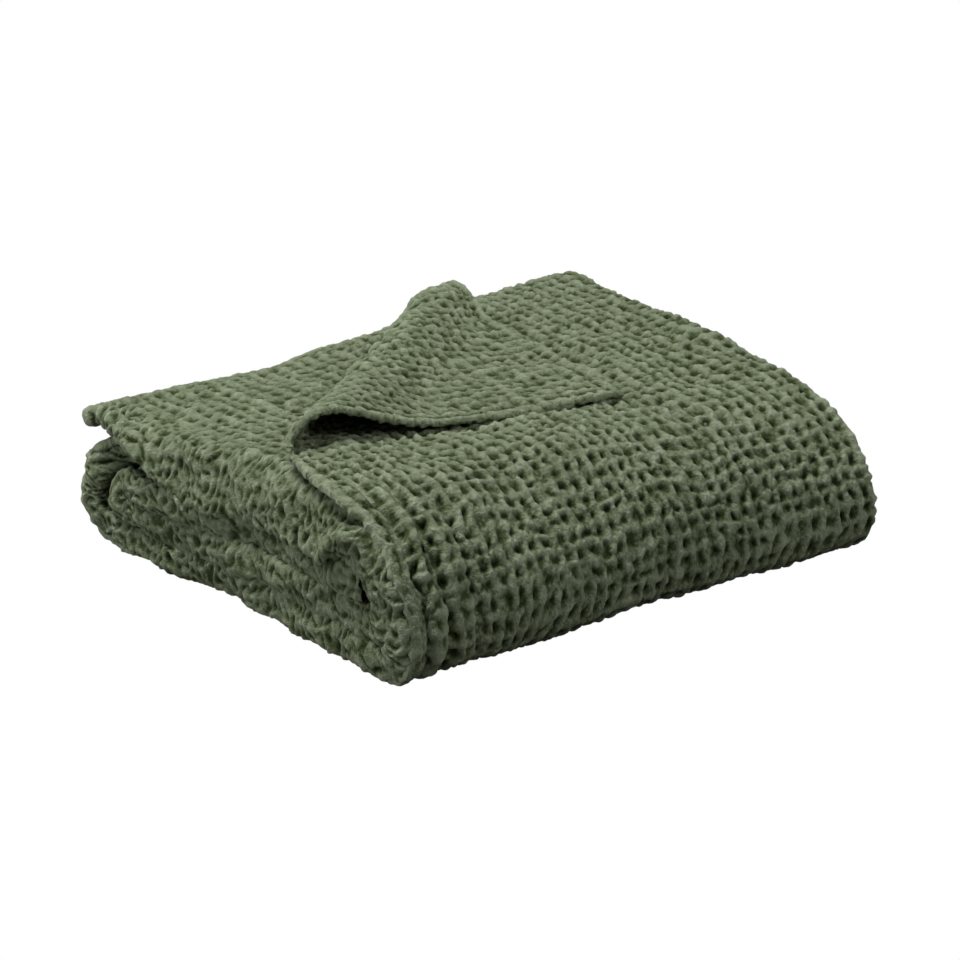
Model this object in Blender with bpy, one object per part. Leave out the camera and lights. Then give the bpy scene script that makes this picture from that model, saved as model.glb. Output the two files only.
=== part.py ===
"""Throw blanket in crinkled waffle cotton, folded into a bundle with one top corner turned back.

One rectangular cloth is one closed solid. It is folded twice. The first fold lays the width back and
forth in three panels, one over the other, along X. The second fold rolls that strip flat, in the
section of Y and Z: over the top, down the front, under, up the back, and in again.
Metres, +X along the long side, -Y the rounded front, +Z up, and the underside flat on Z = 0.
"""

import math

import bmesh
import bpy
import numpy as np

# Sizes
CLOTH = 0.0040  # thickness of the waffle cloth
STEP = 0.0075  # from one panel of the strip to the next, middle to middle
LEFT = -0.210  # the end that shows the folded edges
RIGHT = 0.210  # the end with the long smooth fold
WIDTH = RIGHT - LEFT
LEVEL_TOP = 0.1055  # middle of the strip in each pass, from the top one down
LEVEL_UPPER = 0.0815
LEVEL_CORE = 0.0575
LEVEL_LOWER = 0.0335
LEVEL_BOTTOM = 0.0095
FLOOR_MIDDLE = LEVEL_BOTTOM - STEP  # middle of the panel that lies on the floor
CLEAR_BELOW = FLOOR_MIDDLE - 0.5 * CLOTH
CENTRE_X = -0.00236  # middle of the finished bundle, moved to the origin
CENTRE_Y = 0.01243

# The corner that is turned back
CORNER_X = LEFT  # where the side hem starts to turn
CORNER_Y = -0.056
CORNER_TURN = math.radians(37.5)  # plan angle of the roll from +X
SIDE_HEM = 0.328  # side hem that is turned over
END_HEM = 0.323  # end hem that is turned over
ROLL_LINE = math.hypot(SIDE_HEM, END_HEM)
ROLL_LOW = 0.62  # height of the roll at the back, against its height at the side hem
BACK_REACH = ROLL_LINE * math.sin(CORNER_TURN)

# The back edge of the top pass, which hangs over a little
BACK_Y = 0.157
BACK_RADIUS = 0.033
BACK_ANGLE = math.radians(80)
BACK_HANG = 0.060
UNDER_REACH = 0.024  # how far the two lower panels pass the start of that bend

# The left end of the top pass, which hangs over the passes below it
DROP_RADIUS = 0.0125
DROP_ANGLE = math.radians(82)
DROP_HANG = 0.012
SWELL_LENGTH = 0.016
SWELL_LEFT = 0.60

# Cells across and along the cloth
ACROSS = dict(turned=13, outer=4, right_fold=3, middle=3, middle_end=6, left_fold=4, inner_end=6, inner=2)
BACK_ROWS = 7  # rows over the back edge of the top pass
TURNED_ROWS = 13  # rows of the turned corner in front of them
FLAT_CELLS = 3  # of the turned cells, those past the roll
ROLL_ACROSS = 0.180  # width of cloth in the roll, along a row
ARC_CELLS = 4  # of the cells of a folded edge, those in its bend
TURNED_LEAST = 0.040
INNER_SHORT = 0.012  # how far the hidden hem stays behind the right end

# Section of the roll, square to its line: out from the flap is back, up is rise
ROLL_SECTION = [
    dict(back=0.000, rise=0.000),
    dict(back=-0.013, rise=0.004),
    dict(back=-0.018, rise=0.015),
    dict(back=-0.011, rise=0.027),
    dict(back=0.004, rise=0.032),
    dict(back=0.021, rise=0.029),
    dict(back=0.041, rise=0.021),
    dict(back=0.061, rise=0.013),
    dict(back=0.082, rise=0.0085),
    dict(back=0.110, rise=0.0080),
    dict(back=0.320, rise=0.0080),
]

# How high the bundle stands against its even height, at places along X and Y
HEIGHTS_Y = [-0.190, -0.120, -0.070, -0.020, 0.050, 0.120, 0.190]
HEIGHTS = [
    dict(x=-0.210, share=[1.08, 1.15, 1.17, 1.12, 1.03, 1.00, 0.92]),
    dict(x=-0.070, share=[1.03, 1.06, 1.06, 1.02, 0.97, 0.93, 0.87]),
    dict(x=0.070, share=[1.00, 1.00, 0.99, 0.96, 0.92, 0.89, 0.85]),
    dict(x=0.210, share=[0.98, 0.94, 0.94, 0.93, 0.90, 0.89, 0.86]),
]

# Soft ridges beside the side hem where it goes round the front
CREASES = [
    dict(x=-0.201, height=0.0014, half_width=0.004),
    dict(x=-0.184, height=0.0026, half_width=0.005),
    dict(x=-0.158, height=0.0016, half_width=0.008),
]


def clear_objects():
    for item in list(bpy.data.objects):
        bpy.data.objects.remove(item, do_unlink=True)


def ease(value, low, high):
    """0 below low, 1 above high, soft between."""
    share = min(max((value - low) / (high - low), 0.0), 1.0)
    return share * share * (3.0 - 2.0 * share)


def straight(y_from, y_to, level, cells):
    """A level pass of the strip."""
    return [(y_from + (y_to - y_from) * k / cells, level) for k in range(cells)]


def bend(side, y_from, y_to, level_from, level_to, reach, cells):
    """A bend from one level to another; side is -1 at the front and +1 at the back."""
    middle = 0.5 * (level_from + level_to)
    half = 0.5 * (level_from - level_to)
    points = []
    for k in range(cells):
        turn = math.pi * k / cells
        y = y_from + (y_to - y_from) * 0.5 * (1.0 - math.cos(turn)) + side * reach * math.sin(turn)
        points.append((y, middle + half * math.cos(turn)))
    return points


def back_edge(cells):
    """The hanging back end of the top pass, from its lowest point up to the level part."""
    points = []
    down = LEVEL_TOP - BACK_RADIUS + BACK_RADIUS * math.cos(BACK_ANGLE)
    out = BACK_Y + BACK_RADIUS * math.sin(BACK_ANGLE)
    for k in range(cells):
        hang = BACK_HANG * (1.0 - k / cells)
        points.append((out + hang * math.cos(BACK_ANGLE), down - hang * math.sin(BACK_ANGLE)))
    for k in range(cells):
        turn = BACK_ANGLE * (1.0 - k / cells)
        points.append((BACK_Y + BACK_RADIUS * math.sin(turn), LEVEL_TOP - BACK_RADIUS * (1.0 - math.cos(turn))))
    return points


def strip_path():
    """The middle line of the strip as dense points, with its length at each and its outward normal."""
    fine = 60
    points = back_edge(fine)
    points += straight(BACK_Y, -0.100, LEVEL_TOP, fine)
    points += bend(-1, -0.100, -0.152, LEVEL_TOP, LEVEL_BOTTOM, 0.050, 2 * fine)
    points += straight(-0.152, 0.138, LEVEL_BOTTOM, fine)
    points += bend(1, 0.138, 0.124, LEVEL_BOTTOM, LEVEL_UPPER, 0.044, 2 * fine)
    points += straight(0.124, -0.100, LEVEL_UPPER, fine)
    points += bend(-1, -0.100, -0.130, LEVEL_UPPER, LEVEL_LOWER, 0.034, 2 * fine)
    points += straight(-0.130, 0.126, LEVEL_LOWER, fine)
    points += bend(1, 0.126, 0.126, LEVEL_LOWER, LEVEL_CORE, 0.0125, fine)
    points += straight(0.126, -0.115, LEVEL_CORE, fine)
    points.append((-0.115, LEVEL_CORE))
    line = np.array(points)
    steps = np.linalg.norm(np.diff(line, axis=0), axis=1)
    length = np.concatenate([[0.0], np.cumsum(steps)])
    tangent = np.gradient(line, length, axis=0)
    tangent /= np.linalg.norm(tangent, axis=1)[:, None]
    return line, length, tangent


LINE, LENGTH, TANGENT = strip_path()
TOP_LENGTH = BACK_HANG + BACK_RADIUS * BACK_ANGLE  # length of the path at BACK_Y


def on_strip(along, rise):
    """The point of the section at a length along the strip and a distance out from its middle."""
    y = np.interp(along, LENGTH, LINE[:, 0])
    z = np.interp(along, LENGTH, LINE[:, 1])
    slope_y = np.interp(along, LENGTH, TANGENT[:, 0])
    slope_z = np.interp(along, LENGTH, TANGENT[:, 1])
    size = math.hypot(slope_y, slope_z)
    return y + rise * slope_z / size, z - rise * slope_y / size


def along_of(y):
    """Length along the strip at a plan position of the top pass, as if it lay flat."""
    return TOP_LENGTH + BACK_Y - y


def row_table():
    """Rows of cells along the cloth, each with its share of the turned corner and its two lengths."""
    rows = []
    edge = (BACK_Y - 0.004 - CORNER_Y) / BACK_REACH
    shares = [1.0 - (1.0 - edge) * k / BACK_ROWS for k in range(BACK_ROWS)]
    shares += [edge * (1.0 - k / TURNED_ROWS) ** 1.2 for k in range(TURNED_ROWS + 1)]
    for share in shares:
        outer = along_of(CORNER_Y + BACK_REACH * share)
        under = along_of(CORNER_Y + (BACK_Y + UNDER_REACH - CORNER_Y) * share)
        rows.append(dict(share=share, outer=outer, under=under))
    stretches = [
        dict(length=along_of(-0.100), cells=2),
        dict(length=bend_end(1), cells=11),
        dict(length=bend_end(2), cells=4),
        dict(length=bend_end(3), cells=9),
        dict(length=bend_end(4), cells=3),
        dict(length=bend_end(5), cells=7),
        dict(length=bend_end(6), cells=3),
        dict(length=bend_end(7), cells=5),
        dict(length=float(LENGTH[-1]), cells=3),
    ]
    last = rows[-1]["outer"]
    for stretch in stretches:
        for k in range(1, stretch["cells"] + 1):
            here = last + (stretch["length"] - last) * k / stretch["cells"]
            rows.append(dict(share=0.0, outer=here, under=here))
        last = stretch["length"]
    return rows


def bend_end(number):
    """Length along the strip at the end of a stretch after the top pass, counted from the front bend."""
    fine = 60
    counts = [2 * fine, fine, 2 * fine, fine, 2 * fine, fine, fine]
    return float(LENGTH[3 * fine + sum(counts[:number])])


def roll_section(distance):
    """Plan offset and rise of the turned corner at a distance past the line of the roll."""
    back = np.array([row["back"] for row in ROLL_SECTION])
    rise = np.array([row["rise"] for row in ROLL_SECTION])
    steps = np.hypot(np.diff(back), np.diff(rise))
    length = np.concatenate([[0.0], np.cumsum(steps)])
    fine = np.linspace(0.0, length[-1], 400)
    soft = np.interp(fine, length, back), np.interp(fine, length, rise)
    window = 5
    kernel = np.ones(2 * window + 1) / (2 * window + 1)
    eased = [np.convolve(np.pad(part, window, mode="edge"), kernel, mode="valid") for part in soft]
    return float(np.interp(distance, fine, eased[0])), float(np.interp(distance, fine, eased[1]))


def top_mask(along):
    """1 on the level top pass, 0 from the front bend on."""
    return 1.0 - ease(along, along_of(-0.090), along_of(-0.150))


def drop_share(along):
    """How far the left end of the top pass hangs over: little at the back, full from the middle on."""
    return top_mask(along) * ease(along, along_of(0.165), along_of(0.055))


def behind_mask(along):
    """1 on the pass that lies behind the hanging end."""
    return ease(along, bend_end(3) - 0.055, bend_end(3) - 0.02) * (1.0 - ease(along, bend_end(4) + 0.02, bend_end(4) + 0.05))


def tight_mask(along):
    """1 on the two bends at the back that lie close together."""
    core = ease(along, bend_end(6) - 0.02, bend_end(6)) * (1.0 - ease(along, bend_end(7), bend_end(7) + 0.02))
    wrap = ease(along, bend_end(3) - 0.07, bend_end(3) - 0.04) * (1.0 - ease(along, bend_end(3), bend_end(3) + 0.02))
    return max(core, wrap)


def left_end(along):
    """Where the folded edge of the two inner panels starts to swell at the left."""
    wander = 0.0025 * math.sin(11.0 * along + 0.6) + 0.0015 * math.sin(27.0 * along)
    return LEFT + 0.0225 + wander + 0.0150 * behind_mask(along) - 0.003 * top_mask(along)


def hem_end(along):
    """The outer hem at the left end."""
    wander = 0.0020 * math.sin(9.0 * along + 2.0) + 0.0015 * math.sin(31.0 * along)
    return LEFT + wander + 0.0180 * behind_mask(along)


def right_end(along):
    """The outer fold at the right end."""
    return RIGHT - 0.004 + 0.0035 * math.sin(7.0 * along + 1.0) + 0.0020 * math.sin(19.0 * along)


def front_mask(along):
    """1 on the bend at the front."""
    return ease(along, along_of(-0.090), bend_end(1) - 0.115) * (1.0 - ease(along, bend_end(1) - 0.045, bend_end(1)))


def crease(x, along):
    """Height of the soft ridges on the front."""
    total = 0.0
    for row in CREASES:
        total += row["height"] * math.exp(-(((x - row["x"]) / row["half_width"]) ** 2))
    return total * front_mask(along)


def turned_point(across, share):
    """Plan point and rise of the outer panel at a width from the side hem, on a row of the corner."""
    down = share * SIDE_HEM
    past = (down * END_HEM - across * SIDE_HEM) / ROLL_LINE
    line = (down * SIDE_HEM + across * END_HEM) / ROLL_LINE
    forth_x, forth_y = math.cos(CORNER_TURN), math.sin(CORNER_TURN)
    back, rise = roll_section(past)
    low = 1.0 - (1.0 - ROLL_LOW) * min(line / ROLL_LINE, 1.0)
    lying = 0.0080
    height = rise if rise <= lying else lying + (rise - lying) * low
    x = CORNER_X + line * forth_x + back * forth_y
    y = CORNER_Y + line * forth_y - back * forth_x
    return x, y, height


def outer_panel(row, number):
    """A point of the outer panel: on the turned corner, or on the part that lies flat."""
    share, along = row["share"], row["outer"]
    split = max(share * END_HEM, TURNED_LEAST)
    turned, outer = ACROSS["turned"], ACROSS["outer"]
    if number <= turned:
        past_roll = max(split - ROLL_ACROSS, split * FLAT_CELLS / turned)
        if number <= FLAT_CELLS:
            across = past_roll * number / FLAT_CELLS
        else:
            across = past_roll + (split - past_roll) * (number - FLAT_CELLS) / (turned - FLAT_CELLS)
    else:
        across = split + (WIDTH - split) * (number - turned) / outer
    fold = share * END_HEM
    if across < fold:
        x, y, rise = turned_point(across, share)
        return x, along_of(y), STEP + rise
    start = hem_end(along) + share * (ROLL_LINE * math.cos(CORNER_TURN))
    end = right_end(along) - 0.5 * STEP
    x = start + (end - start) * (across - fold) / (WIDTH - fold)
    return x, along, STEP + crease(x, along)


def right_fold(row, number):
    """A point round the outer fold at the right end."""
    along = row["outer"]
    radius = 0.5 * STEP
    turn = math.pi * number / ACROSS["right_fold"]
    return right_end(along) - 0.5 * STEP + radius * math.sin(turn), along, 0.5 * STEP * (1.0 + math.cos(turn))


def hanging(distance, rise, share):
    """The folded edge of the two inner panels, past its start, hanging by a share of the full drop."""
    turn = DROP_ANGLE * share
    middle = -0.5 * STEP
    arc = DROP_RADIUS * turn
    here = min(distance / DROP_RADIUS, turn)
    rest = max(distance - arc, 0.0)
    radius = DROP_RADIUS + rise - middle
    out = radius * math.sin(here) + rest * math.cos(here)
    down = DROP_RADIUS - radius * math.cos(here) + rest * math.sin(here)
    return out, middle - down


def edge_point(along, distance, side, radius):
    """A point of the folded left edge: side is +1 for the middle panel and -1 for the inner one."""
    share = drop_share(along)
    out, rise = hanging(distance, -0.5 * STEP + side * radius, share)
    return left_end(along) - out, rise


def edge_length(along):
    """Length of the folded left edge from its start to its end fold."""
    share = drop_share(along)
    return (1.0 - share) * 0.0140 + share * (DROP_RADIUS * DROP_ANGLE + DROP_HANG)


def edge_station(along, number, cells):
    """Distance past the start of the folded edge of a point, closer together in its bend."""
    share = drop_share(along)
    length = edge_length(along)
    arc = share * DROP_RADIUS * DROP_ANGLE + (1.0 - share) * length * ARC_CELLS / cells
    if number <= ARC_CELLS:
        return arc * number / ARC_CELLS
    return arc + (length - arc) * (number - ARC_CELLS) / (cells - ARC_CELLS)


def swelling(distance, along):
    """Half the distance between the two inner panels near their folded edge."""
    share = ease(distance, edge_length(along) - SWELL_LENGTH, edge_length(along))
    most = SWELL_LEFT * (1.0 - 0.5 * drop_share(along)) * (1.0 - 0.5 * top_mask(along)) * (1.0 - tight_mask(along))
    return 0.5 * STEP * (1.0 + most * share)


def under_along(row, x):
    """Length along the strip of the two inner panels; it parts from the outer one to the left."""
    share = ease(x, -0.02, right_end(row["outer"]) - 0.01)
    return row["under"] + (row["outer"] - row["under"]) * share


def inner_panels(row, section, number):
    """A point of the middle or the inner panel or of the folded edge between them."""
    along = row["under"]
    length = edge_length(along)
    if section in ("middle", "inner"):
        start = right_end(row["outer"]) - 0.5 * STEP
        finish = left_end(along)
        if section == "middle":
            x = start + (finish - start) * number / ACROSS["middle"]
            return x, under_along(row, x), 0.0
        start -= INNER_SHORT
        x = finish + (start - finish) * number / ACROSS["inner"]
        return x, along, -STEP
    if section == "left_fold":
        turn = math.pi * number / ACROSS["left_fold"]
        radius = swelling(length, along)
        distance = length + radius * math.sin(turn)
        x, rise = edge_point(along, distance, math.cos(turn), radius)
        return x, along, rise
    if section == "middle_end":
        distance = edge_station(along, number, ACROSS["middle_end"])
        x, rise = edge_point(along, distance, 1.0, swelling(distance, along))
    else:
        distance = edge_station(along, ACROSS["inner_end"] - number, ACROSS["inner_end"])
        x, rise = edge_point(along, distance, -1.0, swelling(distance, along))
    return x, along, rise


def cloth_rows():
    """Every row of points of the cloth's middle surface, before it settles."""
    surface = []
    for row in row_table():
        line = [outer_panel(row, k) for k in range(ACROSS["turned"] + ACROSS["outer"] + 1)]
        line += [right_fold(row, k) for k in range(1, ACROSS["right_fold"] + 1)]
        for section in ("middle", "middle_end", "left_fold", "inner_end", "inner"):
            line += [inner_panels(row, section, k) for k in range(1, ACROSS[section] + 1)]
        surface.append([(x, *on_strip(along, rise)) for x, along, rise in line])
    return np.array(surface)


def settled(points):
    """The bundle at its uneven height: higher at the front left, lower at the back and right."""
    xs = [row["x"] for row in HEIGHTS]
    columns = np.array([row["share"] for row in HEIGHTS])
    result = points.copy()
    for index in np.ndindex(points.shape[:2]):
        x, y, z = points[index]
        shares = [np.interp(y, HEIGHTS_Y, columns[k]) for k in range(len(xs))]
        share = np.interp(x, xs, shares)
        share += 0.012 * math.sin(31.0 * x + 9.0 * y) * math.cos(23.0 * y + 1.0)
        result[index][2] = FLOOR_MIDDLE + (z - FLOOR_MIDDLE) * share
    return result


def grid_normals(grid):
    """Unit normals of the middle surface at its points."""
    across = np.gradient(grid, axis=1)
    along = np.gradient(grid, axis=0)
    normal = np.cross(across, along)
    return normal / np.linalg.norm(normal, axis=2)[:, :, None]


def closed_cloth(name, grid):
    """The sheet as a closed solid: both faces and the rim round them."""
    normal = grid_normals(grid)
    faces_out = [grid + normal * 0.5 * CLOTH, grid - normal * 0.5 * CLOTH]
    faces_out = [face - np.array([CENTRE_X, CENTRE_Y, CLEAR_BELOW]) for face in faces_out]
    rows, columns = grid.shape[:2]
    mesh = bmesh.new()
    sheets = [[[mesh.verts.new(p) for p in line] for line in face] for face in faces_out]
    for side, sheet in enumerate(sheets):
        for i in range(rows - 1):
            for j in range(columns - 1):
                for corners in (
                    [sheet[i][j], sheet[i][j + 1], sheet[i + 1][j]],
                    [sheet[i][j + 1], sheet[i + 1][j + 1], sheet[i + 1][j]],
                ):
                    mesh.faces.new(corners if side == 0 else corners[::-1])
    rim = [(0, j) for j in range(columns - 1)] + [(i, columns - 1) for i in range(rows - 1)]
    rim += [(rows - 1, j) for j in range(columns - 1, 0, -1)] + [(i, 0) for i in range(rows - 1, 0, -1)]
    for k, (i, j) in enumerate(rim):
        a, b = rim[(k + 1) % len(rim)]
        mesh.faces.new([sheets[0][a][b], sheets[0][i][j], sheets[1][i][j], sheets[1][a][b]])
    bmesh.ops.triangulate(mesh, faces=mesh.faces[:])
    bmesh.ops.recalc_face_normals(mesh, faces=mesh.faces[:])
    data = bpy.data.meshes.new(name)
    mesh.to_mesh(data)
    mesh.free()
    return data


def cotton():
    """Sage green stonewashed cotton."""
    material = bpy.data.materials.new("waffle_cotton")
    material.use_nodes = True
    shader = material.node_tree.nodes["Principled BSDF"]
    shader.inputs["Base Color"].default_value = (0.16, 0.20, 0.12, 1.0)
    shader.inputs["Roughness"].default_value = 0.95
    material.diffuse_color = (0.16, 0.20, 0.12, 1.0)
    return material


def build():
    clear_objects()
    data = closed_cloth("throw", settled(cloth_rows()))
    data.materials.append(cotton())
    item = bpy.data.objects.new("throw", data)
    bpy.context.scene.collection.objects.link(item)


build()
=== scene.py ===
import math

import bpy
import numpy as np
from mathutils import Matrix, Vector

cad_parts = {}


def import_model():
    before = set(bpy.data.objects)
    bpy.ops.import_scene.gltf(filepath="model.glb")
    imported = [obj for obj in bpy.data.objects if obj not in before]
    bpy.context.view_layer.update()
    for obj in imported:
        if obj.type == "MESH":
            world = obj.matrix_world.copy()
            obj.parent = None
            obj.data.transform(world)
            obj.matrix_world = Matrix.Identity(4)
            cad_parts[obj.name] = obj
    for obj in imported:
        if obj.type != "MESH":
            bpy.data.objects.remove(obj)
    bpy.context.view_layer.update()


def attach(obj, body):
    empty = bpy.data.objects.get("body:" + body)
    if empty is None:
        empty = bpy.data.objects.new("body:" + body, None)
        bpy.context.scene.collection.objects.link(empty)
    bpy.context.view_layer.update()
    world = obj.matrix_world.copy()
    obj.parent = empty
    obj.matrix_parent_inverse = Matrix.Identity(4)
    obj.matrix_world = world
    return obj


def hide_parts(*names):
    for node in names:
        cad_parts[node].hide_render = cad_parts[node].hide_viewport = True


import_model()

# The cloth is folded as the solid is: three panels to and fro along X make a strip, which is rolled flat in Y
# and Z. Places are those of the solid before it was moved by -CENTRE.
STEP = 0.0075  # from one panel of the strip to the next
LEFT, RIGHT = -0.210, 0.210  # ends of the strip
LEVEL_TOP = 0.1055  # heights of the strip's middle where it lies level, from the top down
LEVEL_UPPER = 0.0815
LEVEL_CORE = 0.0575
LEVEL_LOWER = 0.0335
LEVEL_BOTTOM = 0.0095
FLOOR_MIDDLE = LEVEL_BOTTOM - STEP
CENTRE = np.array([-0.00236, 0.01243, 0.0])
FRONT_Y = -0.100  # where the top ends and the front bend starts
CORE_END_Y = -0.135  # where the cloth ends, inside the roll
BACK_Y = 0.157  # where the top starts to bend down at the back
BACK_RADIUS = 0.033
BACK_ANGLE = math.radians(80)
BACK_HANG = 0.090  # straight part that hangs at the back
SOLID_HANG = 0.060  # the same in the solid
SPLIT_X = 0.150  # where the outer and the inner pieces meet, inside the bundle
INNER_SHORT = 0.012  # the inner panel stops this far short of the fold at the right

# The turned corner: where its roll starts on the left hem, its direction, and its two hems
CORNER_X, CORNER_Y = LEFT, -0.056
CORNER_TURN = math.radians(37.5)
SIDE_HEM, END_HEM = 0.328, 0.323
ROLL_LINE = math.hypot(SIDE_HEM, END_HEM)
ROLL_LOW = 0.50  # height of the roll at its far end, as a share of that at its start
LYING = 0.0060  # rise of the corner where it lies flat again
BACK_REACH = ROLL_LINE * math.sin(CORNER_TURN)  # from the start of the roll to the back hem
UNDER_REACH = 0.024  # the inner panels' own back hem lies this far past BACK_Y

# The folded edge of the inner panels at the left, which bends over and hangs at the front of the top
DROP_RADIUS = 0.0125
DROP_ANGLE = math.radians(82)
DROP_HANG = 0.024
EDGE_LONG = 0.014  # its least length

# The cloth
HALF = 0.0022  # from the middle of the cloth to its mean face
CELL = 0.0114  # pitch of the waffle
HEM_WIDTH = 0.010
FINE = 0.0013  # spacing of the mesh

# Section of the roll: how far past its line, towards the loose corner, and how far above the top
ROLL_SECTION = [
    (0.020, 0.000),
    (0.000, 0.000),
    (-0.013, 0.003),
    (-0.019, 0.012),
    (-0.014, 0.022),
    (-0.001, 0.0275),
    (0.014, 0.0250),
    (0.028, 0.0165),
    (0.042, 0.0090),
    (0.062, 0.0062),
    (0.110, 0.0060),
    (0.320, 0.0060),
]
ROLL_BEFORE = 0.020  # length of the section before the line of the roll

# Height of the settled bundle, as a share of the even roll's: a row for each place in X, across places in Y
HEIGHTS_X = [-0.210, -0.070, 0.070, 0.210]
HEIGHTS_Y = [-0.190, -0.120, -0.070, -0.020, 0.050, 0.120, 0.190]
HEIGHTS = [
    [1.08, 1.15, 1.17, 1.12, 1.03, 1.00, 0.94],
    [1.03, 1.06, 1.06, 1.02, 0.97, 0.92, 0.85],
    [1.00, 1.00, 0.99, 0.96, 0.92, 0.89, 0.85],
    [0.94, 0.90, 0.95, 0.97, 0.93, 0.87, 0.81],
]
# Upright creases of the outer panel beside its hem at the front: x, height and half width
CREASES = [
    (-0.202, 0.0022, 0.004),
    (-0.193, -0.0034, 0.003),
    (-0.184, 0.0050, 0.005),
    (-0.173, -0.0042, 0.004),
    (-0.160, 0.0034, 0.007),
    (-0.146, -0.0030, 0.005),
]


def ease(value, low, high):
    """From 0 at low to 1 at high, smoothly."""
    share = np.clip((np.asarray(value) - low) / (high - low), 0.0, 1.0)
    return share * share * (3.0 - 2.0 * share)


# The path of the strip


def straight(y_from, y_to, level, cells):
    """Points of a level stretch, without its last."""
    return [(y_from + (y_to - y_from) * k / cells, level) for k in range(cells)]


def bend(side, y_from, y_to, level_from, level_to, reach, cells):
    """Points of a turn from one level to another, which bulges by reach to the front (-1) or the back (1)."""
    middle = 0.5 * (level_from + level_to)
    half = 0.5 * (level_from - level_to)
    points = []
    for k in range(cells):
        turn = math.pi * k / cells
        y = y_from + (y_to - y_from) * 0.5 * (1.0 - math.cos(turn)) + side * reach * math.sin(turn)
        points.append((y, middle + half * math.cos(turn)))
    return points


def back_edge(cells):
    """Points of the top panel where it hangs over at the back, from its hem up."""
    points = []
    down = LEVEL_TOP - BACK_RADIUS + BACK_RADIUS * math.cos(BACK_ANGLE)
    out = BACK_Y + BACK_RADIUS * math.sin(BACK_ANGLE)
    for k in range(cells):
        hang = BACK_HANG * (1.0 - k / cells)
        points.append((out + hang * math.cos(BACK_ANGLE), down - hang * math.sin(BACK_ANGLE)))
    for k in range(cells):
        turn = BACK_ANGLE * (1.0 - k / cells)
        points.append((BACK_Y + BACK_RADIUS * math.sin(turn), LEVEL_TOP - BACK_RADIUS * (1.0 - math.cos(turn))))
    return points


PATH_CELLS = 120  # in each stretch of the path


def strip_path():
    """The middle line of the strip, its length, its tangent, and its length at the end of each stretch."""
    parts = [
        back_edge(PATH_CELLS),
        straight(BACK_Y, FRONT_Y, LEVEL_TOP, PATH_CELLS),
        bend(-1, FRONT_Y, -0.152, LEVEL_TOP, LEVEL_BOTTOM, 0.050, 2 * PATH_CELLS),
        straight(-0.152, 0.138, LEVEL_BOTTOM, PATH_CELLS),
        bend(1, 0.138, 0.124, LEVEL_BOTTOM, LEVEL_UPPER, 0.044, 2 * PATH_CELLS),
        straight(0.124, FRONT_Y, LEVEL_UPPER, PATH_CELLS),
        bend(-1, FRONT_Y, -0.130, LEVEL_UPPER, LEVEL_LOWER, 0.034, 2 * PATH_CELLS),
        straight(-0.130, 0.126, LEVEL_LOWER, PATH_CELLS),
        bend(1, 0.126, 0.126, LEVEL_LOWER, LEVEL_CORE, 0.0125, PATH_CELLS),
        straight(0.126, CORE_END_Y, LEVEL_CORE, PATH_CELLS),
    ]
    points = sum(parts, []) + [(CORE_END_Y, LEVEL_CORE)]
    line = np.array(points)
    steps = np.linalg.norm(np.diff(line, axis=0), axis=1)
    length = np.concatenate([[0.0], np.cumsum(steps)])
    tangent = np.gradient(line, length, axis=0)
    tangent /= np.linalg.norm(tangent, axis=1)[:, None]
    ends = [float(length[n]) for n in np.cumsum([len(part) for part in parts])]
    return line, length, tangent, ends[2:]


LINE, LENGTH, TANGENT, ENDS = strip_path()
TOP_LENGTH = BACK_HANG + BACK_RADIUS * BACK_ANGLE  # length of the path before the top
LAST = float(LENGTH[-1])


def bend_end(number):
    """Length at the end of a stretch, counted from the front bend, which is 1."""
    return ENDS[number - 1]


def on_strip(along, rise):
    """Y and Z of a place on the strip: its length along the path, and its rise outwards from it."""
    y = np.interp(along, LENGTH, LINE[:, 0])
    z = np.interp(along, LENGTH, LINE[:, 1])
    slope_y = np.interp(along, LENGTH, TANGENT[:, 0])
    slope_z = np.interp(along, LENGTH, TANGENT[:, 1])
    size = np.hypot(slope_y, slope_z)
    return y + rise * slope_z / size, z - rise * slope_y / size


def along_of(y):
    """Length along the path to a place on the top."""
    return TOP_LENGTH + BACK_Y - y


CORNER_ALONG = along_of(CORNER_Y)
PATH_START = along_of(BACK_Y) - (SOLID_HANG + BACK_RADIUS * BACK_ANGLE)  # where the solid's own lengths start


def top_mask(along):
    """1 on top, 0 from the front bend on."""
    return 1.0 - ease(along, along_of(-0.090), along_of(-0.150))


def drop_share(along):
    """How far the folded edge at the left hangs down: from 0 at the back to 1 at the front of the top."""
    return top_mask(along) * ease(along, along_of(0.165), along_of(0.055))


def behind_mask(along):
    """1 on the panels just under the top, whose folded edge stays behind the one that hangs over it."""
    start, end = bend_end(3), bend_end(4)
    return ease(along, start - 0.055, start - 0.02) * (1.0 - ease(along, end - 0.02, end + 0.02))


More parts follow.
